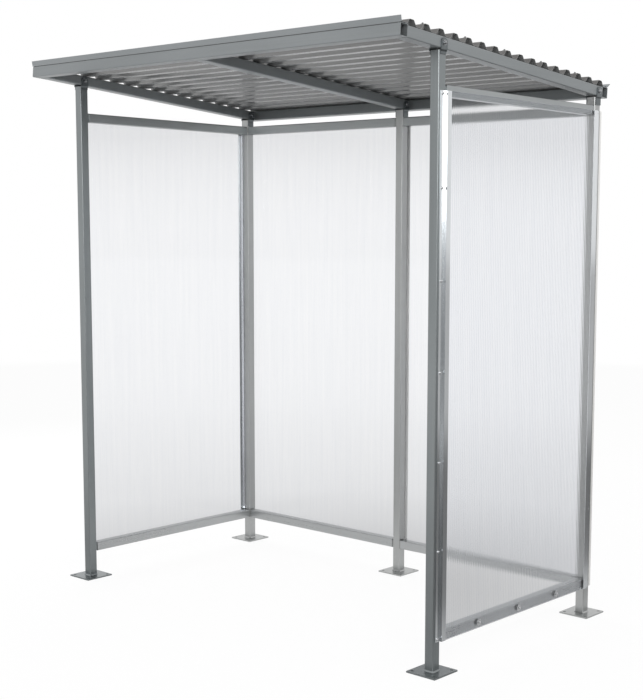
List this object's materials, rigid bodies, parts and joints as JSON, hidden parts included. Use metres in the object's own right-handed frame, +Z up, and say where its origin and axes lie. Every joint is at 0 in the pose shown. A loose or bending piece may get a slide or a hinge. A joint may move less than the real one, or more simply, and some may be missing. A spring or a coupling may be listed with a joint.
{
  "type": "open-fronted smoking shelter",
  "caption": "Free-standing three-sided shelter of bolted square tube with clear twin-wall panels and a corrugated roof falling to the back.",
  "frame": {"origin": "centre of the part's outline at floor level", "axes": "+X to the right seen from the open front, +Y towards the back wall, +Z up"},
  "size_m": [2.196, 1.3386, 2.3481],
  "materials": {
    "galvanised": "galvanised, satin",
    "roof_steel": "grey coated corrugated sheet",
    "twin_wall": "clear twin-wall polycarbonate, upright flutes"
  },
  "bodies": {
    "root": {"post_front_left": "galvanised", "post_front_right": "galvanised", "post_back_left": "galvanised", "post_back_middle": "galvanised", "post_back_right": "galvanised", "strap_front_left_a": "galvanised", "strap_front_left_b": "galvanised", "strap_front_right_a": "galvanised", "strap_front_right_b": "galvanised", "strap_back_left_a": "galvanised", "strap_back_left_b": "galvanised", "strap_back_middle_a": "galvanised", "strap_back_middle_b": "galvanised", "strap_back_right_a": "galvanised", "strap_back_right_b": "galvanised", "rail_left_bottom": "galvanised", "rail_left_top": "galvanised", "rail_right_bottom": "galvanised", "rail_right_top": "galvanised", "rail_back_left_bottom": "galvanised", "rail_back_left_top": "galvanised", "rail_back_right_bottom": "galvanised", "rail_back_right_top": "galvanised", "header_front": "galvanised", "header_rear": "galvanised", "rafter_left": "galvanised", "rafter_middle": "galvanised", "rafter_right": "galvanised", "flashing_front": "galvanised", "flashing_rear": "galvanised", "roof_sheet": "roof_steel", "panel_left": "twin_wall", "panel_right": "twin_wall", "panel_back_left": "twin_wall", "panel_back_right": "twin_wall", "retainer_left_front": "galvanised", "retainer_left_back": "galvanised", "retainer_right_front": "galvanised", "retainer_right_back": "galvanised", "trim_back_left": "galvanised", "trim_back_right": "galvanised", "cover_strip_back": "galvanised"}
  },
  "joints": []
}
